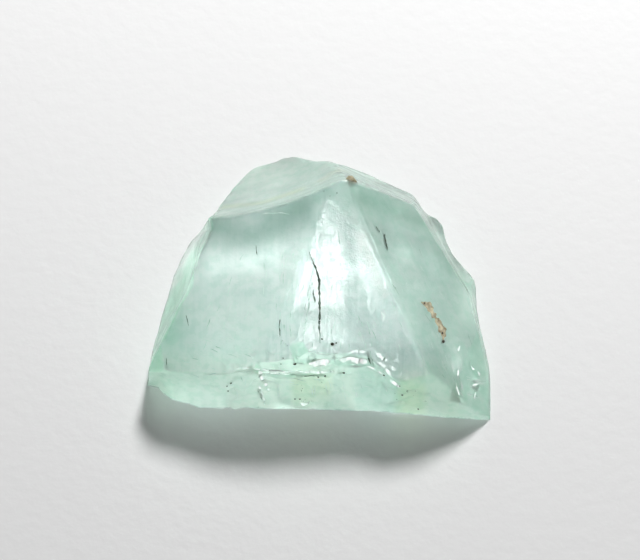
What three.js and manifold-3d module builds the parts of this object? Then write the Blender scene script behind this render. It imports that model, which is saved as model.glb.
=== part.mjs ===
// Phosphophyllite crystal: one pale sea-green, glassy crystal fragment lying on its flat base.
// Four flat growth faces rise to an apex behind the middle. Behind the crest the crystal is
// broken away in slopes with faint shell-like ripples, its sides are broken walls, and its front
// edge is chipped back in ledges.
//
// Millimetres. X runs to the right along the broken front, Y from the front to the back,
// Z up from the base. The finished solid is moved so that the origin is the middle of its base.

import * as THREE from "three";
import { mergeVertices, toCreasedNormals } from "three/addons/utils/BufferGeometryUtils.js";
import Module from "manifold-3d";

const wasm = await Module();
wasm.setup();

// ---- Driving dimensions -------------------------------------------------------------------

const APEX = [0.8, 6.55, 5.0];
const BLOCK_HEIGHT = 6;

// The walls, anticlockwise from above, from the front left corner: each station's foot on the
// base (x, y) and the rim above it (x, y, z) where the wall meets the faces.
const WALLS = [
  // front
  [-6.05, 1.05, -6.0, 0.95, 1.3],
  [-5.68, 0.97, -5.6, 0.75, 1.6],
  [-5.44, 0.69, -5.3, 0.66, 1.7],
  [-5.19, 0.49, -5.05, 0.6, 1.75],
  [-4.56, 0.32, -4.55, 0.53, 1.85],
  [-4.2, 0.16, -4.15, 0.48, 1.93],
  [-3.26, 0.16, -3.26, 0.36, 2.1],
  [-2.2, 0.15, -2.2, 0.45, 2.35],
  [-1.3, 0.14, -1.3, 0.58, 2.4],
  [-0.7, 0.13, -0.7, 0.6, 2.3],
  [0.6, 0.07, 0.6, 0.6, 2.3],
  [1.8, 0.04, 1.8, 0.57, 2.3],
  [2.1, 0.02, 2.15, 0.5, 2.3],
  [2.7, -0.03, 2.7, 0.05, 2.0],
  [3.16, -0.08, 3.2, -0.02, 1.8],
  [4.2, -0.2, 4.2, -0.16, 1.3],
  [5.23, -0.28, 5.15, -0.24, 0.8],
  [5.96, -0.32, 5.94, -0.31, 0.05],
  // right
  [6.0, 1.3, 5.9, 1.3, 0.4],
  [5.93, 2.0, 5.75, 2.0, 0.6],
  [5.72, 3.15, 5.5, 3.1, 0.9],
  [5.6, 4.35, 5.3, 4.25, 1.2],
  [5.5, 5.35, 5.15, 5.15, 1.4],
  // right, behind the crest
  [5.26, 5.6, 5.1, 5.5, 0.7],
  [4.98, 5.9, 4.9, 5.8, 0.7],
  [4.74, 6.2, 4.7, 6.1, 0.7],
  [4.53, 6.75, 4.5, 6.7, 0.7],
  [4.42, 7.4, 4.35, 7.35, 0.7],
  [4.25, 7.7, 4.15, 7.6, 0.7],
  [3.86, 7.8, 3.85, 7.75, 0.9],
  [3.65, 7.95, 3.65, 7.9, 0.9],
  // back
  [3.47, 8.45, 3.45, 8.4, 0.8],
  [3.26, 8.7, 3.25, 8.6, 0.8],
  [2.46, 9.05, 2.45, 9.0, 0.8],
  [1.4, 9.55, 1.4, 9.45, 0.9],
  [0.85, 9.55, 0.88, 9.45, 1.0],
  [0.4, 9.3, 0.4, 9.2, 1.6],
  [-0.1, 9.4, -0.1, 9.3, 1.6],
  [-0.2, 9.55, -0.2, 9.45, 1.4],
  [-0.5, 9.75, -0.5, 9.7, 1.2],
  [-1.05, 10.05, -1.05, 10.0, 0.8],
  [-1.4, 10.05, -1.4, 10.0, 0.7],
  [-1.68, 9.9, -1.65, 9.8, 0.7],
  [-2.18, 9.8, -2.15, 9.75, 0.6],
  [-2.63, 9.5, -2.6, 9.45, 0.6],
  [-3.0, 8.85, -2.95, 8.8, 1.0],
  [-3.3, 8.35, -3.2, 8.2, 1.3],
  [-3.6, 7.8, -3.44, 7.55, 1.8],
  [-3.85, 7.45, -3.58, 6.95, 2.3],
  // left
  [-4.3, 7.3, -3.86, 5.75, 3.78],
  [-4.6, 6.95, -3.75, 5.34, 3.67],
  [-4.92, 6.25, -4.05, 4.81, 3.43],
  [-5.2, 5.5, -4.35, 4.21, 3.16],
  [-5.38, 4.7, -4.42, 3.71, 2.97],
  [-5.55, 4.05, -4.5, 3.35, 2.84],
  [-5.7, 3.3, -4.88, 2.8, 2.57],
  [-5.9, 2.5, -5.4, 1.84, 2.13],
  [-6.0, 1.7, -5.82, 1.3, 1.6],
];

// Flat faces, each cutting away all that is beyond it. tilt is from the horizontal and facing is
// the bearing that the face looks towards, in degrees, with 0 along +X and 90 along +Y.
const FACES = [
  { tilt: 22, facing: 236.1, through: [-1.3, 1.61, 2.97] }, // left growth face
  { tilt: 21.8, facing: 254.1, through: [-0.39, 4.0, 3.95] }, // narrow face left of the middle
  { tilt: 23.6, facing: 280.6, through: [-0.49, 1.12, 2.77] }, // middle growth face
  { tilt: 21, facing: 290.1, through: [0.35, 5.76, 4.69] }, // small facet under the apex
  { tilt: 38.8, facing: 354.3, through: APEX }, // right growth face
  { tilt: 26.8, facing: 330.4, through: [2.53, 2.94, 3.29] }, // strip low on the ridge
  { tilt: 56, facing: 62, through: APEX }, // break behind the crest, on the right
  { tilt: 54.4, facing: 285, through: [3.79, 0.37, 2.1] }, // steep face low in front of the ridge
  { tilt: 44.5, facing: 352, through: [4.6, 1.2, 1.6] }, // steep face at the front right corner
  { tilt: 45, facing: 205, through: [-5.75, 1.0, 1.55] }, // chip at the front left corner
];

// Breaks with a ledge under them: each removes what is beyond every one of its planes.
const LEDGES = [
  [ // right, behind the crest
    { tilt: 70, facing: 25, through: [4.2, 5.47, 2.2] },
    { tilt: 6, facing: 40, through: [4.6, 6.6, 0.6] },
  ],
  [ // middle of the front rim
    { tilt: 78, facing: 271, through: [0.7, 0.88, 2.58] },
    { tilt: 75, facing: 330, through: [-0.9, 0.7, 2.6] },
    { tilt: 66, facing: 226, through: [1.85, 0.8, 2.43] },
    { tilt: 8, facing: 267, through: [0, 0.6, 2.28] },
  ],
  [ // lower, left of the middle of the front
    { tilt: 87, facing: 271, through: [-0.7, 0.62, 1.8] },
    { tilt: 70, facing: 330, through: [-2.0, 0.5, 1.8] },
    { tilt: 70, facing: 215, through: [0.4, 0.5, 1.8] },
    { tilt: 8, facing: 268, through: [-0.7, 0.5, 1.74] },
  ],
];

// Shell-like hollows where the stone has flaked. Each is a bowl: a point on the surface, the tilt
// and the bearing of the bowl's axis there, its depth under that point, the radius of its curve and
// its width across. Ripples of the given spacing and height spread over it from where the stone
// was struck.
const HOLLOWS = [
  { // behind the crest, on the left
    at: [-1.6, 8.0, 1.95], tilt: 41.9, facing: 114.9, depth: 0, radius: 11.5, width: 19,
    struck: [-0.8, 3.6, 6.0], ripple: 0.8, height: 0.007,
  },
  { // behind the crest, on the right
    at: [2.3, 7.9, 2.24], tilt: 56, facing: 62, depth: 0.12, radius: 22, width: 12,
    struck: [1.2, 5.4, 5.6], ripple: 0.7, height: 0.006,
  },
  { // left wall
    at: [-4.9, 4.33, 1.33], tilt: 67.2, facing: 165.3, depth: 0.1, radius: 7, width: 5,
    struck: [-4.1, 5.1, 3.4], ripple: 0.6, height: 0.008,
  },
  { // right wall
    at: [5.53, 3.7, 0.5], tilt: 76, facing: 8, depth: 0.05, radius: 8, width: 3,
    struck: [5.4, 2.6, 1.0], ripple: 0.5, height: 0.006,
  },
  { // low in the middle of the front
    at: [-0.53, 0.23, 0.5], tilt: 78, facing: 270, depth: 0.05, radius: 0.9, width: 1,
    struck: [-0.6, 0, 0], ripple: 0.2, height: 0.003,
  },
  { // left of the middle of the front
    at: [-1.87, 0.37, 1.69], tilt: 83, facing: 268, depth: 0.07, radius: 0.9, width: 1,
    struck: [-1.7, 0.2, 2.2], ripple: 0.2, height: 0.003,
  },
  { // right of the front
    at: [3.2, -0.05, 1.15], tilt: 86, facing: 272, depth: 0.09, radius: 2.2, width: 1.8,
    struck: [3.0, 0, 2.2], ripple: 0.25, height: 0.003,
  },
  { // rim of the front ledge
    at: [-0.72, 0.95, 2.71], tilt: 23, facing: 265, depth: 0.06, radius: 0.7, width: 0.9,
    struck: [-0.7, 0.8, 2.7], ripple: 0.15, height: 0.003,
  },
  { // front right corner, the upper pit
    at: [5.44, 1.34, 0.79], tilt: 44.5, facing: 352, depth: 0.06, radius: 0.6, width: 0.8,
    struck: [5.2, 1.4, 1.1], ripple: 0.15, height: 0.003,
  },
  { // front right corner, the lower pit
    at: [5.42, 0.64, 0.7], tilt: 44.5, facing: 352, depth: 0.05, radius: 0.4, width: 0.6,
    struck: [5.2, 0.7, 1.0], ripple: 0.12, height: 0.003,
  },
];
const STEPS_PER_RIPPLE = 6;
const SECTORS = { wide: 72, small: 30 };
const WIDE = 3; // a hollow wider than this is cut with the finer ring

const SMALLEST = 0.002; // detail finer than this is merged
const CREASE = 12; // degrees between two facets that are drawn as one curved surface

// ---- Solids ---------------------------------------------------------------------------------

function solidOf(geometry) {
  const bare = new THREE.BufferGeometry();
  const flat = geometry.index ? geometry.toNonIndexed() : geometry;
  bare.setAttribute("position", flat.getAttribute("position"));
  const merged = mergeVertices(bare, 1e-4);
  return new wasm.Manifold(new wasm.Mesh({
    numProp: 3,
    vertProperties: merged.attributes.position.array,
    triVerts: new Uint32Array(merged.index.array),
  }));
}

// A closed skin between rings of the same length, each a list of points anticlockwise from
// above, lowest ring first. The bottom and the top are filled flat.
function loft(rings) {
  const corners = [];
  const triangle = (...points) => points.forEach((p) => corners.push(p.x, p.y, p.z));
  const count = rings[0].length;
  for (let level = 0; level + 1 < rings.length; level += 1) {
    const [low, high] = [rings[level], rings[level + 1]];
    for (let i = 0; i < count; i += 1) {
      const j = (i + 1) % count;
      triangle(low[i], low[j], high[j]);
      triangle(low[i], high[j], high[i]);
    }
  }
  const fill = (ring, flip) => {
    const outline = ring.map((p) => new THREE.Vector2(p.x, p.y));
    THREE.ShapeUtils.triangulateShape(outline, []).forEach(([a, b, c]) => {
      triangle(ring[flip ? c : a], ring[b], ring[flip ? a : c]);
    });
  };
  fill(rings[0], true);
  fill(rings.at(-1), false);
  const geometry = new THREE.BufferGeometry();
  geometry.setAttribute("position", new THREE.Float32BufferAttribute(corners, 3));
  return solidOf(geometry);
}

// The walls, carried on straight up from the rim so that the faces can cut them.
function block() {
  return loft([
    WALLS.map(([x, y]) => new THREE.Vector3(x, y, 0)),
    WALLS.map(([, , x, y, z]) => new THREE.Vector3(x, y, z)),
    WALLS.map(([, , x, y]) => new THREE.Vector3(x, y, BLOCK_HEIGHT)),
  ]);
}

// The turn that carries +Z onto the outward direction of a surface.
function turnTo({ tilt, facing }) {
  const t = THREE.MathUtils.degToRad(tilt);
  const f = THREE.MathUtils.degToRad(facing);
  const out = new THREE.Vector3(
    Math.sin(t) * Math.cos(f), Math.sin(t) * Math.sin(f), Math.cos(t));
  return new THREE.Quaternion().setFromUnitVectors(new THREE.Vector3(0, 0, 1), out);
}

// Everything on the outer side of a flat face.
function beyond(face) {
  const size = 40; // well over the crystal's own size
  const box = new THREE.BoxGeometry(size, size, size).translate(0, 0, size / 2);
  return solidOf(box.applyQuaternion(turnTo(face)).translate(...face.through));
}

// Everything on the outer side of a shell-like hollow: a rippled bowl, closed high above. The bowl
// is made in a frame of its own, with the axis along +Z, and rings around where it was struck.
function overHollow(hollow) {
  const roof = 12; // well over the crystal's height
  const turn = turnTo(hollow);
  const at = new THREE.Vector3(...hollow.at);
  const struck = new THREE.Vector3(...hollow.struck).sub(at).applyQuaternion(turn.clone().invert());
  const point = (away, angle) => {
    const x = struck.x + away * Math.cos(angle);
    const y = struck.y + away * Math.sin(angle);
    const bowl = (x * x + y * y) / (2 * hollow.radius) - hollow.depth;
    const wave = hollow.height * Math.sin((2 * Math.PI * away) / hollow.ripple);
    return new THREE.Vector3(x, y, bowl + wave);
  };
  const extent = hollow.width / 2 + Math.hypot(struck.x, struck.y);
  const count = Math.ceil((extent / hollow.ripple) * STEPS_PER_RIPPLE);
  const sectors = hollow.width > WIDE ? SECTORS.wide : SECTORS.small;
  const rings = Array.from({ length: count }, (_, k) => (
    Array.from({ length: sectors }, (__, i) => (
      point((extent * (k + 1)) / count, (i / sectors) * 2 * Math.PI)))));
  rings.push(rings.at(-1).map((p) => new THREE.Vector3(p.x, p.y, p.z + roof)));
  const middle = point(0, 0);
  const lid = new THREE.Vector3(struck.x, struck.y, roof * 2);
  const corners = [];
  const triangle = (...points) => points.forEach((p) => corners.push(p.x, p.y, p.z));
  for (let i = 0; i < sectors; i += 1) {
    const j = (i + 1) % sectors;
    triangle(middle, rings[0][j], rings[0][i]);
    for (let k = 0; k + 1 < rings.length; k += 1) {
      triangle(rings[k][i], rings[k][j], rings[k + 1][j]);
      triangle(rings[k][i], rings[k + 1][j], rings[k + 1][i]);
    }
    triangle(lid, rings.at(-1)[i], rings.at(-1)[j]);
  }
  const geometry = new THREE.BufferGeometry();
  geometry.setAttribute("position", new THREE.Float32BufferAttribute(corners, 3));
  return solidOf(geometry.applyQuaternion(turn).translate(...hollow.at));
}

let crystal = block();
for (const face of FACES) crystal = crystal.subtract(beyond(face));
for (const ledge of LEDGES) {
  crystal = crystal.subtract(ledge.map(beyond).reduce((a, b) => a.intersect(b)));
}
for (const hollow of HOLLOWS) crystal = crystal.subtract(overHollow(hollow));
crystal = crystal.simplify(SMALLEST);

// ---- Mesh -----------------------------------------------------------------------------------

function meshOf(solid, name, material) {
  const { vertProperties, triVerts } = solid.getMesh();
  const geometry = new THREE.BufferGeometry();
  geometry.setAttribute("position", new THREE.BufferAttribute(vertProperties, 3));
  geometry.setIndex(new THREE.BufferAttribute(triVerts, 1));
  geometry.computeBoundingBox();
  const middle = geometry.boundingBox.getCenter(new THREE.Vector3());
  geometry.translate(-middle.x, -middle.y, -geometry.boundingBox.min.z);
  const mesh = new THREE.Mesh(
    toCreasedNormals(geometry, THREE.MathUtils.degToRad(CREASE)), material);
  mesh.name = name;
  return mesh;
}

const seaGreenGlass = new THREE.MeshStandardMaterial({
  color: new THREE.Color(0.66, 0.83, 0.77),
  roughness: 0.12,
  metalness: 0,
});

const part = new THREE.Group();
part.add(meshOf(crystal, "crystal", seaGreenGlass));

export default part;
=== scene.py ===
"""Looks for the phosphophyllite crystal: its surface, its colour, what lies inside it, and a plain
pale studio floor. The crystal and what lies in it are worked out in mm, in the CAD source's frame,
and made in metres. The floor and the lights are in metres. A pixel is a place in the photograph,
from its top left corner."""

import math
import random

import bmesh
import bpy
import numpy as np
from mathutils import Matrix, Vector, noise
from mathutils.bvhtree import BVHTree


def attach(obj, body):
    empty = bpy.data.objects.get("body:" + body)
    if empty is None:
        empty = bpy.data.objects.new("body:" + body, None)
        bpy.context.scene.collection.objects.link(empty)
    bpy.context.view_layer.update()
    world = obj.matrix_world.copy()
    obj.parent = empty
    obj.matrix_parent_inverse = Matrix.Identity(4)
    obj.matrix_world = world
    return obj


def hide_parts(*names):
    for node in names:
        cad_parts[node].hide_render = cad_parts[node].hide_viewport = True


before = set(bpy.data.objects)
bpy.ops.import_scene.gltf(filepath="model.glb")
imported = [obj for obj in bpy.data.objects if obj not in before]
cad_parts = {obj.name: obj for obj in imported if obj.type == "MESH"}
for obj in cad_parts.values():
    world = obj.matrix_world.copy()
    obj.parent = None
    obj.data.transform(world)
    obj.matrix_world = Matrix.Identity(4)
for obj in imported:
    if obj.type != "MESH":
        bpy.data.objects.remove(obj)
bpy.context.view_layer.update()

MM = 0.001
# The photograph's width and height in pixels.
IMAGE = (640, 560)

# ---- Camera ---------------------------------------------------------------------------------

PIXELS_PER_MM = 28.5
ELEVATION = math.radians(60)
DISTANCE_MM = 160
SENSOR_MM = 36
CLIP = (0.01, 2)
# The point that the middle of the photograph shows, and the way from there to the camera.
TARGET_MM = Vector((0.03, -0.675, 2.0))
TOWARDS_CAMERA = Vector((0, -math.cos(ELEVATION), math.sin(ELEVATION)))


def add_camera():
    data = bpy.data.cameras.new("camera")
    data.sensor_width = SENSOR_MM
    data.lens = SENSOR_MM * DISTANCE_MM * PIXELS_PER_MM / IMAGE[0]
    data.clip_start, data.clip_end = CLIP
    camera = bpy.data.objects.new("camera", data)
    camera.location = (TARGET_MM + TOWARDS_CAMERA * DISTANCE_MM) * MM
    camera.rotation_mode = "QUATERNION"
    camera.rotation_quaternion = (-TOWARDS_CAMERA).to_track_quat("-Z", "Y")
    bpy.context.scene.collection.objects.link(camera)
    bpy.context.scene.camera = camera


def pixel_ray(x, y):
    """Where the camera's ray through this pixel starts, in mm, and its direction."""
    right = Vector((1, 0, 0))
    up = TOWARDS_CAMERA.cross(right)
    aim = TARGET_MM + (right * (x - IMAGE[0] / 2) + up * (IMAGE[1] / 2 - y)) / PIXELS_PER_MM
    start = TARGET_MM + TOWARDS_CAMERA * DISTANCE_MM
    return start, (aim - start).normalized()


# ---- Materials ------------------------------------------------------------------------------


def new_material(name):
    material = bpy.data.materials.new(name)
    material.use_nodes = True
    tree = material.node_tree
    return material, tree, tree.nodes["Principled BSDF"]


def noise_node(tree, scale, detail=3, stretch=(1, 1, 1), bearing=0):
    """Noise over the object's own position; scale is in features per mm. Stretch is along x, y and
    z once x has been turned to this bearing, in degrees."""
    where = tree.nodes.new("ShaderNodeTexCoord")
    mapping = tree.nodes.new("ShaderNodeMapping")
    mapping.vector_type = "TEXTURE"
    mapping.inputs["Rotation"].default_value = (0, 0, math.radians(bearing))
    mapping.inputs["Scale"].default_value = [MM / (s * scale) for s in stretch]
    made = tree.nodes.new("ShaderNodeTexNoise")
    made.inputs["Scale"].default_value = 1
    made.inputs["Detail"].default_value = detail
    tree.links.new(where.outputs["Object"], mapping.inputs["Vector"])
    tree.links.new(mapping.outputs["Vector"], made.inputs["Vector"])
    return made.outputs["Fac"]


def ramp_node(tree, value, low, high, out_low, out_high):
    """Goes evenly from out_low to out_high as the value goes from low to high."""
    made = tree.nodes.new("ShaderNodeMapRange")
    made.inputs["From Min"].default_value = low
    made.inputs["From Max"].default_value = high
    made.inputs["To Min"].default_value = out_low
    made.inputs["To Max"].default_value = out_high
    tree.links.new(value, made.inputs["Value"])
    return made.outputs["Result"]


def math_node(tree, operation, first, second):
    """Works out one operation on two sockets or plain numbers."""
    made = tree.nodes.new("ShaderNodeMath")
    made.operation = operation
    for socket, value in zip(made.inputs, (first, second)):
        if isinstance(value, bpy.types.NodeSocket):
            tree.links.new(value, socket)
        else:
            socket.default_value = value
    return made.outputs["Value"]


def attribute_node(tree, name):
    """The value that the mesh has under this name."""
    made = tree.nodes.new("ShaderNodeAttribute")
    made.attribute_name = name
    return made.outputs["Fac"]


def darken_node(tree, colour, value, low, high, dark, share):
    """Multiplies a colour by dark where the value is low, by no more than this share."""
    made = tree.nodes.new("ShaderNodeMix")
    made.data_type = "RGBA"
    made.blend_type = "MULTIPLY"
    amount = math_node(tree, "MULTIPLY", ramp_node(tree, value, low, high, 1, 0), share)
    tree.links.new(amount, made.inputs["Factor"])
    tree.links.new(colour, made.inputs["A"])
    made.inputs["B"].default_value = (*dark, 1)
    return made.outputs["Result"]


def bump_node(tree, height, height_mm, before=None):
    """Fine relief of this height where the value is 1, on top of any that comes before it."""
    made = tree.nodes.new("ShaderNodeBump")
    made.inputs["Strength"].default_value = 1
    made.inputs["Distance"].default_value = height_mm * MM
    tree.links.new(height, made.inputs["Height"])
    if before:
        tree.links.new(before, made.inputs["Normal"])
    return made.outputs["Normal"]


# ---- Crystal --------------------------------------------------------------------------------

IOR = 1.6
ABSORB_COLOUR = (0.4, 0.86, 0.74, 1)
ABSORB_DENSITY = 45
COAT = 0.5
COAT_ROUGH = 0.12
# How fine the surface is cut, and what counts as flat, as one point or as a sliver in the CAD mesh.
LONGEST_EDGE_MM = 0.12
FLATTEST = math.radians(0.4)
SAME_POINT_MM = 2e-4
SLIVER_MM = 2e-3

# The growth faces, as in the CAD source: tilt and bearing in degrees.
GROWTH_FACES = {
    "left": (22, 236.1),
    "narrow": (21.8, 254.1),
    "middle": (23.6, 280.6),
    "apex": (21, 290.1),
    "right": (38.8, 354.3),
    "strip": (26.8, 330.4),
}
SAME_FACE = math.cos(math.radians(1.5))
# What tells the base, the front and the back from the walls: how far their normals point down,
# forward and up, and where along y the last two begin, in mm.
BASE_DOWN = 0.99
FRONT_LEAN, FRONT_FROM_Y = 0.6, -3.5
BACK_UP, BACK_FROM_Y = 0.3, 0

# How rough each part of the surface is, from 0, clear, to 1, milky.
ROUGH = {
    "left": 0.65,
    "narrow": 0.88,
    "middle": 0.65,
    "apex": 0.45,
    "right": 0.62,
    "strip": 0.5,
    "base": 0.88,
    "front": 0.95,
    "back": 1.0,
    "walls": 0.85,
}
# The base: places along y in mm, and how rough it is at each.
BASE_ZONES = ((-4.5, -2.5, -1.0, 0.8, 1.8, 3.0, 3.8), (0.8, 0.82, 0.7, 0.6, 0.1, 0.1, 0.9))
# Edges sharper than this are rougher by so much.
SHARP = math.radians(5)
EDGE_ROUGH = 0.3

# Milky zones, given as the tinted ones are, and how much rougher each is.
MILKY = {
    "column": (((457, 345), (457, 408)), 0.45, 0.45),
    "lower_left": (((180, 362), (215, 360), (245, 356)), 0.8, 0.15),
    "left_of_highlight": (((294, 292), (292, 330)), 0.5, 0.3),
    "left_middle": (((205, 285), (235, 300)), 1.2, 0.12),
    "ridge": (((349, 196), (366, 238), (384, 278), (410, 335), (426, 370)), 0.12, 0.3),
    "rim": (((240, 370), (300, 366), (360, 360)), 0.4, 0.2),
}
# Edges sharper than this are shaded as creases.
CREASE = math.radians(40)
# How many times each broken part is smoothed.
SOFT_PASSES = {"back": 26, "front": 6, "walls": 8}

# How strongly the fine parallel lines show on each growth face.
LINED = {"narrow": 1, "middle": 0.5, "left": 0.3}
# The noises of the stone: features per mm, detail, stretch along x, y and z, and bearing.
NOISES = {
    "lines": (7, 3, (1, 0.07, 0.07)),
    "streaks": (4, 5, (1, 0.14, 0.14), 26),
    "clouds": (0.6, 5),
    "mottles": (3.5, 5),
    "haze": (0.9, 5),
    "swells": (3, 6),
    "pores": (11, 3),
    "grains": (16, 3),
}
# Which of them darken the stone, between which values, to which colour, and the value of the mesh
# that says where, if any.
DARKER = {
    "clouds": (0.38, 0.56, (0.82, 0.88, 0.87), "cloudy"),
    "mottles": (0.4, 0.54, (0.86, 0.93, 0.9), None),
    "lines": (0.38, 0.55, (0.8, 0.85, 0.84), "lined"),
    "streaks": (0.35, 0.58, (0.88, 0.95, 0.92), "right"),
}
# Which of them are relief: the height in mm, and the value of the mesh that says where, if any.
RELIEF = {
    "lines": (0.008, "lined"),
    "streaks": (0.01, "right"),
    "swells": (0.003, None),
    "pores": (0.005, None),
    "grains": (0.011, "grainy"),
}
# From which value of the haze to which, and by what the roughness is multiplied at each.
HAZE_RANGE = (0.3, 0.7, 0.65, 1.35)

# The tint of each part of the surface.
TINT = {
    "left": (0.98, 0.91, 0.96),
    "narrow": (1.0, 0.92, 0.98),
    "middle": (1.0, 0.9, 0.97),
    "apex": (0.95, 0.9, 0.93),
    "right": (0.93, 0.99, 0.96),
    "strip": (0.94, 0.94, 0.95),
    "base": (1, 1, 1),
    "front": (0.95, 1.0, 0.97),
    "back": (1.0, 1.0, 0.98),
    "walls": (0.78, 0.95, 0.86),
}

# Zones where the stone is darker or another colour, some of them painted shade and one a painted
# highlight tint: the pixels of the photograph along the middle of each, how far it reaches to
# either side in mm, and its tint.
ZONES = {
    # Painted shade: the dark band just below the crest on the left.
    "painted_shade_left": (
        ((214, 226), (232, 231), (252, 236), (274, 228), (300, 212)),
        0.95, (0.37, 0.49, 0.44)),
    # Painted shade: darker just under the top of the crest.
    "painted_shade_under_crest": (((270, 214), (298, 205), (324, 193)), 0.45, (0.68, 0.8, 0.75)),
    # Painted shade: the dark band below the crest on the right.
    "painted_shade_right": (
        ((354, 197), (376, 203), (402, 213), (424, 224), (440, 245), (452, 268)),
        0.7, (0.62, 0.74, 0.68)),
    "left_edge": (((204, 236), (188, 268), (178, 300), (168, 335)), 0.75, (0.62, 0.83, 0.73)),
    "lower_left": (((176, 345), (205, 358), (240, 352)), 1.4, (1.0, 1.1, 1.05)),
    "right_low": (((405, 385), (425, 372), (441, 372)), 0.8, (0.96, 1.0, 0.94)),
    "front": (((160, 384), (250, 388), (330, 386), (380, 392), (450, 405)), 0.9, (1.0, 1.0, 0.94)),
    "middle_low": (((362, 322), (378, 335), (395, 352)), 0.9, (0.84, 0.85, 0.85)),
    # Painted highlight colour: a pink tint under the right highlight, so that it looks pink.
    "painted_highlight_tint_right": (((362, 238), (383, 292)), 0.4, (1.0, 0.9, 0.9)),
    # Painted shade: the grey gap between the two highlights.
    "painted_shade_between_highlights": (((346, 222), (350, 250), (352, 290), (345, 320)), 0.4, (0.82, 0.84, 0.84)),
    "crest_back": (((225, 207), (262, 203), (300, 190)), 0.4, (1.0, 0.97, 0.82)),
    "beige": (((322, 180), (345, 171)), 0.35, (1.0, 0.93, 0.84)),
    "front_blue": (((364, 389), (393, 392)), 0.55, (0.8, 0.92, 0.92)),
    "olive_patch": (((297, 385), (326, 383)), 0.35, (0.94, 0.96, 0.82)),
    "olive_right": (((403, 396), (420, 402)), 0.4, (0.88, 0.93, 0.8)),
}

# Two places mirror the overhead light into the camera. One cuts off the edge between the middle
# face and the narrow one: a plane through three points of the surface, within so many mm of a
# line. The other is a patch of the middle face, turned the same way: its axis, and how far it
# reaches to either side.
CUT = ((323, 203), (289, 320), (346, 316))
CUT_LINE = ((322, 192), (318, 308))
CUT_HALF_MM = 3
PATCH = ((364, 238), (386, 297))
PATCH_HALF_MM = 0.4
# Their surface waves by this much, and their ends fade out and wander.
CUT_WAVE_MM = 0.01
CUT_WAVES_PER_MM = (1.6, 1.6, 1.6)
FADE_MM = 0.36
WANDER_MM = 0.2
WANDERS_PER_MM = (1.8, 1.8, 1.8)
# To the right of the cut, the middle face leans away by this slope.
LEAN = 0.035
# Where the highlight is grainy: the pixels along the middle of each place, and its reach in mm.
GRAINY = {
    "between": (((334, 212), (346, 236), (352, 262)), 0.5),
    "patch": (((356, 232), (370, 262), (384, 296)), 0.5),
    "cut_foot": (((296, 315), (320, 318), (342, 312)), 0.5),
}

# Gentle ripples: their height in mm, features per mm along x, y and z, octaves and seed.
GROWN_RIPPLE = (0.008, (0.7, 0.7, 0.7), 2, 0)
NARROW_RIPPLE = (0.006, (2.5, 0.3, 0.3), 2, 5)
RIGHT_RIPPLE = (0.006, (2.2, 0.3, 0.3), 2, 9)
BROKEN_RIPPLE = (0.01, (1.5, 1.5, 1.5), 4, 3)
BACK_RIPPLE = (0.006, (0.9, 0.9, 0.9), 2, 3)
# The ripples of the right face run at this bearing.
RIGHT_BEARING = 30
# How far points wander sideways on the broken parts, on the growth faces and along the rim.
WOBBLE_MM = 0.016
GROWN_WOBBLE_MM = 0.005
RIM_WOBBLE_MM = 0.07
RIM = ((232, 372), (266, 366), (300, 362), (340, 358), (372, 356), (398, 382))
RIM_REACH_MM = 0.6
WOBBLES_PER_MM = (2.6, 2.6, 2.6)
WOBBLE_SEEDS = (11, 17, 23)
# Along this line, and at the front, the stone has hardly any dark clouds.
LOW = ((170, 365), (205, 362), (240, 356))
LOW_REACH_MM = 1.6
CLEARED = 0.9


def out_of(tilt, facing):
    """The normal of a face with this tilt and bearing."""
    t, f = math.radians(tilt), math.radians(facing)
    return Vector((math.sin(t) * math.cos(f), math.sin(t) * math.sin(f), math.cos(t)))


def cad_mesh_mm(name):
    """The CAD node's mesh in mm, with its flat faces whole again."""
    bm = bmesh.new()
    bm.from_mesh(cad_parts[name].data)
    bmesh.ops.scale(bm, vec=(1 / MM,) * 3, verts=bm.verts)
    bmesh.ops.remove_doubles(bm, verts=bm.verts, dist=SAME_POINT_MM)
    bmesh.ops.dissolve_degenerate(bm, edges=bm.edges, dist=SLIVER_MM)
    bmesh.ops.dissolve_limit(bm, angle_limit=FLATTEST, verts=bm.verts, edges=bm.edges)
    return bm


def refine(bm, longest):
    """Splits edges until none is longer than this. Every new point lies on the old surface."""
    bmesh.ops.triangulate(bm, faces=bm.faces, quad_method="BEAUTY", ngon_method="BEAUTY")
    limit = longest * 2**6
    while limit > longest * 0.99:
        long_edges = [e for e in bm.edges if e.calc_length() > limit]
        if long_edges:
            bmesh.ops.subdivide_edges(bm, edges=long_edges, cuts=1)
            many = [f for f in bm.faces if len(f.verts) > 3]
            bmesh.ops.triangulate(bm, faces=many, quad_method="SHORT_EDGE")
            flat = [e for e in bm.edges if e.calc_face_angle(1) < FLATTEST]
            bmesh.ops.beautify_fill(bm, faces=bm.faces, edges=flat)
        else:
            limit /= 2


def read_rows(collection, name, kind=float):
    """The three numbers that each item has under this name, one item a row."""
    values = np.zeros(len(collection) * 3, kind)
    collection.foreach_get(name, values)
    return values.reshape(-1, 3)


def region_members(mesh):
    """For each growth face and each broken part of the surface, which polygons lie in it."""
    normals = read_rows(mesh.polygons, "normal")
    y = read_rows(mesh.polygons, "center")[:, 1] / MM
    member = {
        name: normals @ np.array(out_of(*face)) > SAME_FACE
        for name, face in GROWTH_FACES.items()
    }
    grown = sum(member.values()) > 0
    member["base"] = normals[:, 2] < -BASE_DOWN
    member["front"] = ~grown & (normals[:, 1] < -FRONT_LEAN) & (y < FRONT_FROM_Y)
    member["back"] = ~grown & (normals[:, 2] > BACK_UP) & (y > BACK_FROM_Y)
    member["walls"] = ~(grown | member["base"] | member["front"] | member["back"])
    return member


def region_weights(mesh):
    """For each vertex, its share in each growth face and in each broken part of the surface."""
    corners = read_rows(mesh.polygons, "vertices", int)
    touching = np.zeros(len(mesh.vertices))
    np.add.at(touching, corners.ravel(), 1)
    shares = {}
    for name, mine in region_members(mesh).items():
        share = np.zeros(len(mesh.vertices))
        np.add.at(share, corners[mine].ravel(), 1)
        shares[name] = share / touching
    return shares


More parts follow.
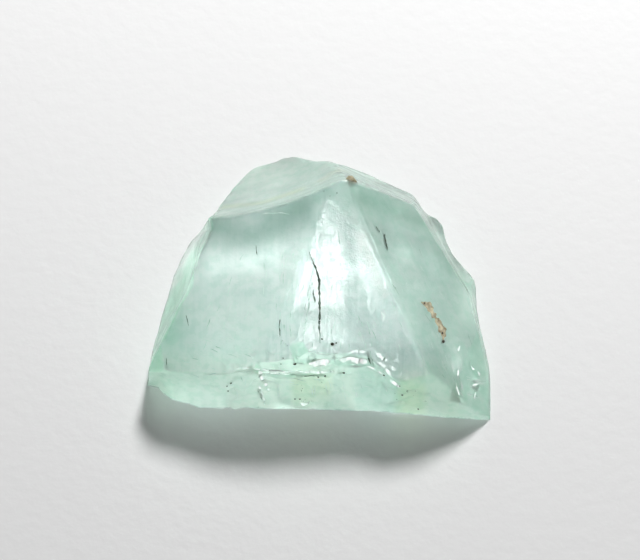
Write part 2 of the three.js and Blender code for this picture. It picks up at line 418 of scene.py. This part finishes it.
def near(points, line, reach):
    """From 1 on a line to 0 at this distance from it in mm, seen from above."""
    line = np.array(line)
    away = np.full(len(points), np.inf)
    for a, b in zip(line, line[1:]):
        along = b - a
        t = np.clip((points[:, :2] - a) @ along / (along @ along), 0, 1)
        away = np.minimum(away, np.linalg.norm(points[:, :2] - a - t[:, None] * along, axis=1))
    x = np.clip(1 - away / reach, 0, 1)
    return x * x * (3 - 2 * x)


def step_up(x, width):
    """From 0 to 1, smoothly, as x goes from -width to 0."""
    t = np.clip(x / width + 1, 0, 1)
    return t * t * (3 - 2 * t)


def glints(points, normals, shares, marks):
    """How far to move each point, in mm, for the two places that mirror the overhead light."""
    cut, cut_line, patch = (np.array(line) for line in marks)
    facing = np.array(glint_facing(cut))
    waves = CUT_WAVE_MM * wave(points, CUT_WAVES_PER_MM, 3, 4)
    over = ((points - cut[0]) @ facing + waves) / (normals @ facing)
    inside = strip_mask(points, cut_line, CUT_HALF_MM)
    push = -np.maximum(over, 0) * inside * (shares["middle"] + shares["narrow"] + shares["apex"])
    away = np.array(out_of(*GROWTH_FACES["middle"])) + (LEAN, 0, 0)
    push -= np.maximum((points - cut[2]) @ away, 0) * shares["middle"]
    over = ((points - patch.mean(axis=0)) @ facing + waves) / (normals @ facing) + push
    return push - over * strip_mask(points, patch, PATCH_HALF_MM) * shares["middle"]


def glint_facing(cut):
    """The way that a plane through three points faces."""
    a, b, c = (Vector(p) for p in cut)
    facing = (b - a).cross(c - a).normalized()
    return facing if facing.z > 0 else -facing


def strip_mask(points, line, half_width):
    """1 over a strip on both sides of a line, seen from above, and 0 beyond its soft ends."""
    start, end = line[0][:2], line[1][:2]
    length = np.linalg.norm(end - start)
    along = (end - start) / length
    away = points[:, :2] - start
    away = away + WANDER_MM * np.column_stack(
        [wave(points, WANDERS_PER_MM, 3, seed) for seed in (4, 8)])
    t, across = away @ along, np.abs(away @ np.array((-along[1], along[0])))
    return step_up(half_width - across, FADE_MM) * step_up(np.minimum(t, length - t), FADE_MM)


def wave(points, scale, octaves=2, seed=0.0):
    """Smooth noise from -1 to 1 at each point. scale has the features per mm along x, y and z."""
    shift = Vector((seed, seed * 1.7, seed * 2.3))
    sx, sy, sz = scale
    return np.array([
        noise.fractal(Vector((x * sx, y * sy, z * sz)) + shift, 0.8, 2.0, octaves)
        for x, y, z in points])


def soften(mesh, shares):
    """Rounds the broken parts of the surface a little."""
    bm = bmesh.new()
    bm.from_mesh(mesh)
    for name, passes in SOFT_PASSES.items():
        chosen = (shares[name] > 0) & (shares["base"] == 0)
        verts = [v for v, mine in zip(bm.verts, chosen) if mine]
        for _ in range(passes):
            bmesh.ops.smooth_vert(
                bm, verts=verts, factor=0.5, use_axis_x=True, use_axis_y=True, use_axis_z=True)
    bm.to_mesh(mesh)
    bm.free()


def ripple(points, share, height_mm, per_mm, octaves, seed):
    """How far to move each point, in mm, for gentle ripples where the share is more than 0."""
    return share * height_mm * wave(points, per_mm, octaves, seed)


def displace(mesh, shares, marks, rim):
    """Gives the surface its glints, ripples and uneven edges, and rounds its broken parts."""
    points = read_rows(mesh.vertices, "co") / MM
    normals = read_rows(mesh.vertex_normals, "vector")
    grown = sum(shares[name] for name in GROWTH_FACES)
    broken = 1 - grown - shares["base"] - shares["back"]
    push = ripple(points, grown, *GROWN_RIPPLE)
    push += ripple(points, shares["narrow"], *NARROW_RIPPLE)
    push += ripple(points @ rotation(RIGHT_BEARING), shares["right"], *RIGHT_RIPPLE)
    push += glints(points, normals, shares, marks)
    push += ripple(points, broken, *BROKEN_RIPPLE)
    push += ripple(points, shares["back"], *BACK_RIPPLE)
    points += normals * push[:, None]
    sway = GROWN_WOBBLE_MM * grown + WOBBLE_MM * (1 - grown)
    sway += RIM_WOBBLE_MM * near(points, rim, RIM_REACH_MM)
    points += sway[:, None] * np.column_stack(
        [wave(points, WOBBLES_PER_MM, 2, seed) for seed in WOBBLE_SEEDS])
    points[:, 2] = np.maximum(points[:, 2], 0)
    mesh.vertices.foreach_set("co", (points * MM).ravel())
    soften(mesh, shares)
    mesh.shade_smooth()
    mesh.set_sharp_from_angle(angle=CREASE)


def rotation(angle):
    """Turns points so that the x that comes out runs at this angle from X, seen from above."""
    a = math.radians(angle)
    return np.array(((math.cos(a), -math.sin(a), 0), (math.sin(a), math.cos(a), 0), (0, 0, 1)))


def stone_colour(tree, noises):
    """The tint of each place, darker in clouds, mottles and fine lines."""
    tint = tree.nodes.new("ShaderNodeAttribute")
    tint.attribute_name = "tint"
    colour = tint.outputs["Color"]
    for kind, (low, high, dark, where) in DARKER.items():
        share = attribute_node(tree, where) if where else 1.0
        colour = darken_node(tree, colour, noises[kind], low, high, dark, share)
    return colour


def stone_relief(tree, noises):
    """Relief that is too fine for the mesh."""
    relief = None
    for kind, (height_mm, where) in RELIEF.items():
        height = noises[kind]
        if where:
            height = math_node(tree, "MULTIPLY", attribute_node(tree, where), height)
        relief = bump_node(tree, height, height_mm, relief)
    return relief


def stone_material():
    """See-through stone with a thin coat, and plain absorption inside."""
    material, tree, shader = new_material("phosphophyllite")
    noises = {kind: noise_node(tree, *values) for kind, values in NOISES.items()}
    haze = ramp_node(tree, noises["haze"], *HAZE_RANGE)
    rough = math_node(tree, "MULTIPLY", attribute_node(tree, "rough"), haze)
    relief = stone_relief(tree, noises)
    tree.links.new(stone_colour(tree, noises), shader.inputs["Base Color"])
    tree.links.new(rough, shader.inputs["Roughness"])
    tree.links.new(relief, shader.inputs["Normal"])
    tree.links.new(relief, shader.inputs["Coat Normal"])
    shader.inputs["Transmission Weight"].default_value = 1
    shader.inputs["IOR"].default_value = IOR
    shader.inputs["Coat Weight"].default_value = COAT
    shader.inputs["Coat IOR"].default_value = IOR
    shader.inputs["Coat Roughness"].default_value = COAT_ROUGH
    absorb = tree.nodes.new("ShaderNodeVolumeAbsorption")
    absorb.inputs["Color"].default_value = ABSORB_COLOUR
    absorb.inputs["Density"].default_value = ABSORB_DENSITY
    tree.links.new(absorb.outputs["Volume"], tree.nodes["Material Output"].inputs["Volume"])
    return material


def on_surface(surface, pixels):
    """The points of a surface, in mm, that these pixels show."""
    return [surface.ray_cast(*pixel_ray(*p))[0] for p in pixels]


def on_plan(surface, pixels):
    """The same points, seen from above."""
    return [p.xy for p in on_surface(surface, pixels)]


def placed(surface, zones):
    """Zones with their rows of pixels turned into lines, seen from above."""
    return [(on_plan(surface, pixels), *rest) for pixels, *rest in zones.values()]


def sharp_vertices(bm):
    """1 for each vertex of a sharp edge, and 0 for the others."""
    sharp = np.zeros(len(bm.verts))
    bm.verts.index_update()
    for e in bm.edges:
        if e.calc_face_angle(0) > SHARP:
            sharp[[v.index for v in e.verts]] = 1
    return sharp


def tint_of(points, shares, zones):
    """The tint of each vertex: that of its part of the surface, changed by the zones, painted
    shade among them.
    """
    tint = sum(np.outer(share, TINT[name]) for name, share in shares.items())
    for line, reach, colour in zones:
        tint *= 1 + (np.array(colour) - 1) * near(points, line, reach)[:, None]
    tint = np.minimum(tint, 1)
    tint[shares["base"] > 0] = 1
    return tint


def roughness_of(points, shares, milky, sharp):
    """How rough each vertex is, by its part of the surface, the sharp edges and the milky zones."""
    rough = sum(ROUGH[name] * share for name, share in shares.items())
    rough += EDGE_ROUGH * sharp * (1 - shares["base"])
    for line, reach, more in milky:
        rough += more * near(points, line, reach)
    base = np.interp(points[:, 1], *BASE_ZONES)
    return rough * (1 - shares["base"]) + base * shares["base"]


def add_values(mesh, name, values):
    attribute = mesh.attributes.new(name, "FLOAT", "POINT")
    attribute.data.foreach_set("value", values.astype(np.float32))


def add_colours(mesh, name, colours):
    attribute = mesh.attributes.new(name, "FLOAT_COLOR", "POINT")
    opaque = np.column_stack((colours, np.ones(len(colours))))
    attribute.data.foreach_set("color", opaque.ravel())


def add_object(name, bm, unit=MM):
    """Makes an object of this mesh, which is in mm unless another unit is given."""
    bmesh.ops.scale(bm, vec=(unit,) * 3, verts=bm.verts)
    mesh = bpy.data.meshes.new(name)
    bm.to_mesh(mesh)
    bm.free()
    made = bpy.data.objects.new(name, mesh)
    bpy.context.scene.collection.objects.link(made)
    return made


def search_tree(mesh):
    """The finished surface, in mm, for finding what a pixel shows."""
    bm = bmesh.new()
    bm.from_mesh(mesh)
    bmesh.ops.scale(bm, vec=(1 / MM,) * 3, verts=bm.verts)
    tree = BVHTree.FromBMesh(bm)
    bm.free()
    return tree


def build_crystal():
    """The crystal's surface. Returns its search tree, and the way that the glints face."""
    bm = cad_mesh_mm("crystal")
    surface = BVHTree.FromBMesh(bm)
    zones, milky, grainy = [placed(surface, kind) for kind in (ZONES, MILKY, GRAINY)]
    rim, low = [on_plan(surface, line) for line in (RIM, LOW)]
    marks = [on_surface(surface, line) for line in (CUT, CUT_LINE, PATCH)]
    refine(bm, LONGEST_EDGE_MM)
    sharp = sharp_vertices(bm)
    crystal = add_object("crystal_surface", bm)
    mesh = crystal.data
    shares = region_weights(mesh)
    points = read_rows(mesh.vertices, "co") / MM
    displace(mesh, shares, marks, rim)
    add_colours(mesh, "tint", tint_of(points, shares, zones))
    add_values(mesh, "rough", roughness_of(points, shares, milky, sharp))
    clear = np.maximum(shares["front"], near(points, low, LOW_REACH_MM))
    add_values(mesh, "cloudy", 1 - CLEARED * clear)
    add_values(mesh, "lined", sum(shares[name] * lined for name, lined in LINED.items()))
    add_values(mesh, "right", shares["right"])
    add_values(mesh, "grainy", sum(near(points, line, reach) for line, reach in grainy))
    mesh.materials.append(stone_material())
    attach(crystal, "root")
    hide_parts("crystal")
    return search_tree(mesh), glint_facing(marks[0])


# ---- What lies in the crystal -----------------------------------------------------------------

# Dark hairline cracks: the pixels each follows, and its width in mm.
CRACKS = {
    "long": (((309, 252), (316, 268), (319, 280), (320, 305), (319, 322), (320, 343)), 0.065),
    "beside_long": (((313, 289), (315, 303)), 0.04),
    "left_of_long": (((280, 317), (279, 327), (280, 337)), 0.03),
    "right_face": (((384, 234), (386, 242), (388, 250)), 0.045),
    "right_face_short": (((376, 226), (380, 232)), 0.03),
    "rim": (((367, 351), (369, 358), (371, 364)), 0.045),
    "left_wall": (((179, 307), (186, 316), (189, 326)), 0.024),
    "left_low": (((166, 358), (167, 370)), 0.025),
    "left_high": (((256, 245), (257, 255)), 0.022),
    "left_dots": (((193, 270), (194, 278)), 0.04),
    "under_rim": (((283, 374), (305, 376), (326, 375)), 0.018),
    "front_v_left": (((258, 390), (262, 400)), 0.02),
}
# White flaws that catch the light, given in the same way.
STREAKS = {
    "rim_right": (((340, 361), (350, 357), (360, 359), (368, 363)), 0.21),
    "rim_top": (((349, 353), (358, 351), (366, 352)), 0.07),
    "rim_left": (((309, 364), (318, 361), (331, 362)), 0.2),
    "pit_side": (((309, 350), (313, 348), (317, 347)), 0.12),
    "ridge_foot_a": (((376, 354), (380, 356), (387, 361)), 0.12),
    "ridge_foot_b": (((378, 362), (384, 367), (391, 376)), 0.09),
    "ridge_foot_c": (((391, 378), (396, 384), (400, 386)), 0.13),
    "ridge_foot_d": (((366, 366), (374, 368), (384, 374)), 0.05),
    "front_left_a": (((258, 368), (260, 374), (263, 381), (270, 390)), 0.12),
    "front_left_b": (((258, 383), (262, 393), (265, 405)), 0.05),
    "front_low": (((300, 402), (305, 404), (310, 402)), 0.07),
    "long_a": (((232, 369), (252, 368), (276, 371), (300, 370)), 0.04),
    "long_b": (((240, 374), (262, 372), (290, 374)), 0.035),
    "rim_line": (((300, 372), (330, 371), (352, 373)), 0.06),
    "middle_low": (((381, 311), (384, 316), (383, 322)), 0.04),
    "column_a": (((459, 346), (458, 352)), 0.06),
    "column_b": (((457, 370), (457, 376)), 0.05),
    "column_c": (((456, 386), (459, 396), (458, 408)), 0.04),
    "corner_dash": (((471, 386), (478, 385)), 0.05),
    "corner_dots_a": (((470, 366), (474, 370)), 0.05),
    "corner_dots_b": (((477, 372), (479, 376)), 0.04),
    "corner_dots_c": (((474, 393), (473, 399)), 0.035),
}
# Pale faint flaws, and painted highlights: pale lines along the crest, the left rim, beside a
# crack on the left wall and beside the low part of the ridge, where edges catch the light.
FAINT_FLAWS_AND_PAINTED_GLINTS = {
    # Painted highlights: pale lines along the crest and the left rim.
    "painted_glint_crest": (((262, 214), (275, 213), (290, 214)), 0.035),
    "painted_glint_left_rim": (((213, 232), (206, 243), (199, 260)), 0.05),
    # Painted highlight beside the crack on the left wall.
    "painted_glint_left_wall": (((186, 309), (193, 309)), 0.04),
    "long_c": (((236, 371), (262, 370), (296, 372)), 0.05),
    # Painted highlight: a pale line beside the low part of the ridge.
    "painted_glint_ridge": (((417, 337), (422, 352), (427, 370)), 0.04),
    "lower_left": (((196, 377), (212, 374), (228, 375)), 0.04),
}
# Wide pale veils, whose tops lie this deep in the crystal.
VEILS = {
    "column": (((457, 346), (456, 375), (457, 404)), 0.4),
    "corner": (((475, 366), (476, 380), (474, 396)), 0.25),
}
VEIL_DEEP_MM = 0.045
# Small dark grains: pixel, and width in mm, which is then scaled.
SPECKS = (
    (332, 344, 0.1), (336, 343, 0.05), (295, 364, 0.08), (344, 373, 0.07), (318, 377, 0.05),
    (325, 376, 0.05), (384, 375, 0.06), (399, 386, 0.07), (402, 395, 0.06), (407, 391, 0.05),
    (418, 409, 0.05), (227, 386, 0.05), (231, 383, 0.06), (228, 391, 0.05), (295, 399, 0.05),
    (300, 399, 0.05), (442, 333, 0.08), (443, 341, 0.1), (424, 303, 0.08), (283, 358, 0.04),
    (281, 364, 0.04), (322, 339, 0.06), (324, 191, 0.03), (330, 196, 0.03), (337, 193, 0.03),
)
SPECK_SCALE = 1.4
# Fields of finer ones: how many, and the box of pixels. Then their least and greatest width.
SPECK_FIELDS = ((6, (292, 378, 330, 392)), (4, (301, 397, 317, 402)), (8, (394, 386, 426, 402)))
FINE_SPECK_MM = (0.02, 0.036)
# How far apart the noise is that shapes one grain and the next, in both lists.
SPECK_SEEDS, FINE_SPECK_SEEDS = 3.1, 2.3
# The tan needle on the right face.
NEEDLE = ((421, 302), (428, 305), (433, 314), (439, 323), (443, 333), (443, 341))
NEEDLE_MM = 0.3
NEEDLE_PROUD_MM = 0.01
# The olive grain at the apex, in two lumps: pixel, width in mm and seed.
OLIVE_MM = 0.42
OLIVE_GRAINS = ((351, 180, OLIVE_MM, 7), (354, 181, OLIVE_MM * 0.6, 9))
# Fields of fine scratches: how many, the box of pixels, and their lean from upright, in degrees.
MARKS = (
    (26, (258, 235, 300, 345), -5),
    (20, (300, 230, 350, 345), -3),
    (24, (265, 338, 375, 368), 8),
    (16, (240, 352, 375, 372), 80),
    (12, (355, 300, 400, 350), 19),
    (16, (385, 230, 440, 330), 27),
    (14, (425, 330, 470, 395), 22),
    (12, (200, 250, 250, 340), -17),
    (22, (180, 335, 250, 376), 75),
    (14, (230, 376, 400, 391), 11),
    (12, (195, 378, 380, 386), 80),
    (12, (465, 374, 475, 400), 80),
    (8, (451, 356, 462, 396), 8),
)
# Of each field's count, one in so many is drawn in each kind.
MARK_KINDS = {"dark_marks": 3, "pale_marks": 1}
# How much the lean of a scratch varies in degrees, its length in pixels, and its width in mm.
MARK_SPREAD = 7
MARK_LENGTH = (4, 13)
MARK_WIDTH_MM = (0.015, 0.03)
# How deep each kind goes into the crystal, and how far it wanders to either side.
MARK_DEPTH_MM, MARK_WANDER_MM = 0.03, 0.03
CRACK_DEPTH_MM, CRACK_WANDER_MM = 0.12, 0.03
STREAK_DEPTH_MM, STREAK_WANDER_MM = 0.05, 0.05
VEIL_WANDER_MM = 0.08
NEEDLE_DEPTH_MM, NEEDLE_WANDER_MM = 0.1, 0.04
# How far a ribbon's top stands out of the skin, so that it shows, and how far a white flaw's does.
PROUD_MM = 0.003
STREAK_PROUD_MM = 0.032
# Ribbons have a section at each step, and white flaws are flat over so many steps.
STEP_MM = 0.04
FLAT_STEPS = 9
# The share of a grain's width by which its middle lies under the skin, its flatness, and how
# uneven it is.
GRAIN_SUNK, GRAIN_FLAT, GRAIN_UNEVEN = 0.15, 0.6, 0.5
# What each kind is made of: its dark and light colours, features per mm, and roughness.
DULL = {
    "dark_marks": ((0.5, 0.62, 0.56), (0.8, 0.88, 0.84), 5, 0.5),
    "pale_marks": ((0.8, 0.9, 0.86), (0.97, 0.98, 0.97), 5, 0.5),
    "crack": ((0.04, 0.058, 0.045), (0.2, 0.26, 0.2), 4, 0.5),
    "flaw": ((0.7, 0.84, 0.78), (0.97, 0.98, 0.97), 7, 0.41),
    # Shared by the pale faint flaws and by the painted highlights along edges.
    "faint_flaw_and_painted_glint": ((0.72, 0.84, 0.8), (0.92, 0.96, 0.94), 6, 0.5),
    "speck": ((0.015, 0.012, 0.008), (0.09, 0.07, 0.04), 12, 0.7),
    "needle": ((0.22, 0.18, 0.1), (0.72, 0.66, 0.47), 5, 0.6),
    "olive": ((0.14, 0.12, 0.06), (0.4, 0.36, 0.23), 8, 0.7),
}


def along_skin(skin, pixels):
    """Points and normals of the skin, in mm, at close steps along a row of pixels."""
    hits = [skin.ray_cast(*pixel_ray(x, y))[:2] for x, y in pixels]
    points, normals = [], []
    for (a, na), (b, nb) in zip(hits, hits[1:]):
        steps = max(2, round((b - a).length / STEP_MM))
        for i in range(steps):
            t = i / steps
            points.append(a.lerp(b, t))
            normals.append(na.lerp(nb, t).normalized())
    points.append(hits[-1][0])
    normals.append(hits[-1][1])
    return points, normals


def taper(t):
    """0 at both ends of a crack and 1 over its middle part."""
    return min(1, 5 * t, 5 * (1 - t))


def add_ribbon(bm, skin, pixels, width, depth, wander, proud=PROUD_MM, facing=None):
    """A closed strip with a three-sided section, whose top stands this proud of the skin. It faces
    the way that the skin does or, in short flat steps, another way that is given."""
    points, normals = along_skin(skin, pixels)
    last = len(points) - 1
    sections = []
    for i, (p, n) in enumerate(zip(points, normals)):
        ahead = points[min(i + 1, last)] - points[max(i - 1, 0)]
        side = (facing or n).cross(ahead).normalized()
        jitter = noise.noise(p * 9)
        p = p + side * wander * noise.noise(p * 4 + Vector((3, 1, 2)))
        if facing:
            step = points[min(i // FLAT_STEPS * FLAT_STEPS + FLAT_STEPS // 2, last)]
            p = p - facing * (p - step).dot(facing)
        half = width / 2 * (0.15 + taper(i / last) * (0.85 + 0.9 * jitter))
        top = p + n * proud
        sections.append([bm.verts.new(v) for v in (
            top - side * half, top + side * half, top - n * depth)])
    for a, b in zip(sections, sections[1:]):
        for k in range(3):
            m = (k + 1) % 3
            bm.faces.new((a[k], a[m], b[m], b[k]))
    bm.faces.new(sections[0][::-1])
    bm.faces.new(sections[-1])


def add_ribbons(bm, skin, lines, depth, wander, proud=PROUD_MM, facing=None):
    """A ribbon along each named row of pixels."""
    for pixels, width in lines.values():
        add_ribbon(bm, skin, pixels, width, depth, wander, proud, facing)


def add_grain(bm, skin, x, y, size, seed):
    """A small uneven grain, most of it sunk in the skin."""
    at, n, *_ = skin.ray_cast(*pixel_ray(x, y))
    made = bmesh.ops.create_icosphere(bm, subdivisions=2, radius=size / 2)
    for v in made["verts"]:
        lumps = noise.noise(v.co * (1.2 / size) + Vector((seed, seed * 0.7, 0)))
        v.co *= 1 + GRAIN_UNEVEN * lumps
        v.co = Vector((v.co.x, v.co.y, v.co.z * GRAIN_FLAT)) + at - n * size * GRAIN_SUNK


def add_speck_field(bm, skin, count, box, seed):
    """Fine grains at random places inside a box of pixels."""
    made = random.Random(seed)
    left, top, right, bottom = box
    for i in range(count):
        x, y = made.uniform(left, right), made.uniform(top, bottom)
        add_grain(bm, skin, x, y, made.uniform(*FINE_SPECK_MM), i * FINE_SPECK_SEEDS)


def inclusion(name, bm, material):
    """Makes one piece of a mesh in mm."""
    bmesh.ops.recalc_face_normals(bm, faces=bm.faces)
    piece = add_object(name, bm)
    piece.data.materials.append(material)
    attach(piece, "root")


def dull_material(name):
    """A plain material whose colour wanders between two."""
    dark, light, per_mm, roughness = DULL[name]
    material, tree, shader = new_material(name)
    mix = tree.nodes.new("ShaderNodeMix")
    mix.data_type = "RGBA"
    mix.inputs["A"].default_value = (*dark, 1)
    mix.inputs["B"].default_value = (*light, 1)
    tree.links.new(
        ramp_node(tree, noise_node(tree, per_mm), 0.35, 0.65, 0, 1), mix.inputs["Factor"])
    tree.links.new(mix.outputs["Result"], shader.inputs["Base Color"])
    shader.inputs["Roughness"].default_value = roughness
    return material


def add_marks(bm, skin, count, box, lean, seed):
    """Short faint scratches inside a box of pixels, which lean by about this many degrees."""
    made = random.Random(seed)
    left, top, right, bottom = box
    for _ in range(count):
        x, y = made.uniform(left, right), made.uniform(top, bottom)
        a = math.radians(made.gauss(lean, MARK_SPREAD))
        length = made.uniform(*MARK_LENGTH)
        across, down = length * math.sin(a), length * math.cos(a)
        pixels = [(x + t * across, y + t * down) for t in (0, 0.5, 1)]
        width = made.uniform(*MARK_WIDTH_MM)
        add_ribbon(bm, skin, pixels, width, MARK_DEPTH_MM, MARK_WANDER_MM)


def build_marks(skin):
    for name, one_in in MARK_KINDS.items():
        marks = bmesh.new()
        for i, (count, box, lean) in enumerate(MARKS):
            add_marks(marks, skin, count // one_in, box, lean, 100 * one_in + i)
        inclusion(name, marks, dull_material(name))


def build_cracks(skin):
    cracks = bmesh.new()
    add_ribbons(cracks, skin, CRACKS, CRACK_DEPTH_MM, CRACK_WANDER_MM)
    inclusion("cracks", cracks, dull_material("crack"))


def build_flaws(skin, glint):
    """White flaws, which mirror the overhead light as the glints do."""
    flaws = bmesh.new()
    add_ribbons(
        flaws, skin, STREAKS, STREAK_DEPTH_MM, STREAK_WANDER_MM, STREAK_PROUD_MM, glint)
    material = dull_material("flaw")
    material.node_tree.nodes["Principled BSDF"].inputs["Metallic"].default_value = 1
    inclusion("flaws", flaws, material)


# Pale faint flaws and veils, and the painted highlights along edges.
def build_faint_flaws_and_painted_glints(skin):
    faint = bmesh.new()
    add_ribbons(faint, skin, FAINT_FLAWS_AND_PAINTED_GLINTS, STREAK_DEPTH_MM, STREAK_WANDER_MM)
    add_ribbons(faint, skin, VEILS, STREAK_DEPTH_MM, VEIL_WANDER_MM, -VEIL_DEEP_MM)
    inclusion("faint_flaws_and_painted_glints", faint, dull_material("faint_flaw_and_painted_glint"))


def build_specks(skin):
    specks = bmesh.new()
    for i, (x, y, size) in enumerate(SPECKS):
        add_grain(specks, skin, x, y, size * SPECK_SCALE, i * SPECK_SEEDS)
    for i, (count, box) in enumerate(SPECK_FIELDS):
        add_speck_field(specks, skin, count, box, i)
    inclusion("specks", specks, dull_material("speck"))


def build_needle(skin):
    needle = bmesh.new()
    add_ribbon(
        needle, skin, NEEDLE, NEEDLE_MM, NEEDLE_DEPTH_MM, NEEDLE_WANDER_MM, NEEDLE_PROUD_MM)
    inclusion("needle", needle, dull_material("needle"))


def build_olive_grain(skin):
    olive = bmesh.new()
    for grain in OLIVE_GRAINS:
        add_grain(olive, skin, *grain)
    inclusion("olive_grain", olive, dull_material("olive"))


# ---- Floor and light ------------------------------------------------------------------------

# The paper lies this far under the crystal. It is flat inside a radius, and then rises in steps
# of so many degrees.
GAP = 0.00001
FLAT_RADII = (0.02, 0.08, 0.2)
BOWL_RADIUS = 0.2
BOWL_STEPS, BOWL_STEP = 12, 5
AROUND = 96
PAPER_COLOUR = (0.83, 0.83, 0.83, 1)
PAPER_ROUGH = 0.9
PAPER_SPECULAR = 0.1
PAPER_TOOTH_MM = 0.015
PAPER_TEETH_PER_MM = 2.2

WORLD_STRENGTH = 0.06
# The key light casts the shadow: the elevation and azimuth that it comes from, in degrees.
KEY_FROM = (41, 77)
KEY_DISTANCE, KEY_SIZE, KEY_STRENGTH = 0.118, 0.0295, 78
# The overhead light is the one that the glints mirror.
OVERHEAD_DISTANCE, OVERHEAD_SIZE, OVERHEAD_STRENGTH = 0.45, 0.05, 38


def floor_profile():
    """Radius and height of each ring of the floor, from the middle out."""
    profile = [(radius, 0) for radius in FLAT_RADII]
    for step in range(1, BOWL_STEPS + 1):
        a = math.radians(step * BOWL_STEP)
        rise = BOWL_RADIUS * (1 - math.cos(a))
        profile.append((FLAT_RADII[-1] + BOWL_RADIUS * math.sin(a), rise))
    return profile


def floor_mesh():
    """A flat floor that rises all round into a bowl, as a photographer's sweep does."""
    bm = bmesh.new()
    middle = bm.verts.new((0, 0, -GAP))
    rings = []
    for radius, z in floor_profile():
        ring = []
        for i in range(AROUND):
            t = 2 * math.pi * i / AROUND
            ring.append(bm.verts.new((radius * math.cos(t), radius * math.sin(t), z - GAP)))
        rings.append(ring)
    for i in range(AROUND):
        j = (i + 1) % AROUND
        bm.faces.new((middle, rings[0][i], rings[0][j]))
        for inner, outer in zip(rings, rings[1:]):
            bm.faces.new((inner[i], outer[i], outer[j], inner[j]))
    for f in bm.faces:
        f.smooth = True
    return bm


def paper_material():
    material, tree, shader = new_material("paper")
    shader.inputs["Base Color"].default_value = PAPER_COLOUR
    shader.inputs["Roughness"].default_value = PAPER_ROUGH
    shader.inputs["Specular IOR Level"].default_value = PAPER_SPECULAR
    tooth = noise_node(tree, PAPER_TEETH_PER_MM, 4)
    tree.links.new(bump_node(tree, tooth, PAPER_TOOTH_MM), shader.inputs["Normal"])
    return material


def build_floor():
    floor = add_object("floor", floor_mesh(), 1)
    floor.data.materials.append(paper_material())


def towards(elevation, azimuth):
    """The direction from the crystal with these angles, in degrees from the floor and from X."""
    e, a = math.radians(elevation), math.radians(azimuth)
    return Vector((math.cos(e) * math.cos(a), math.cos(e) * math.sin(a), math.sin(e)))


def soft_light(name, direction, distance, size, strength):
    """A round soft light that looks at the crystal from this direction. Strength is its radiance."""
    data = bpy.data.lights.new(name, "AREA")
    data.shape = "DISK"
    data.size = size
    data.energy = strength * math.pi * math.pi * (size / 2) ** 2
    light = bpy.data.objects.new(name, data)
    light.location = direction * distance
    light.rotation_mode = "QUATERNION"
    light.rotation_quaternion = direction.to_track_quat("Z", "Y")
    bpy.context.scene.collection.objects.link(light)


def add_lights(glint):
    """A dim white world, the key light, and the light that the glints mirror into the camera."""
    world = bpy.data.worlds.new("studio")
    bpy.context.scene.world = world
    world.use_nodes = True
    back = world.node_tree.nodes["Background"]
    back.inputs["Color"].default_value = (1, 1, 1, 1)
    back.inputs["Strength"].default_value = WORLD_STRENGTH
    soft_light("key", towards(*KEY_FROM), KEY_DISTANCE, KEY_SIZE, KEY_STRENGTH)
    overhead = 2 * glint.dot(TOWARDS_CAMERA) * glint - TOWARDS_CAMERA
    soft_light("overhead", overhead, OVERHEAD_DISTANCE, OVERHEAD_SIZE, OVERHEAD_STRENGTH)
    bpy.context.scene.view_settings.view_transform = "Standard"


add_camera()
skin, glint = build_crystal()
build_marks(skin)
build_cracks(skin)
build_flaws(skin, glint)
build_faint_flaws_and_painted_glints(skin)
build_specks(skin)
build_needle(skin)
build_olive_grain(skin)
build_floor()
add_lights(glint)
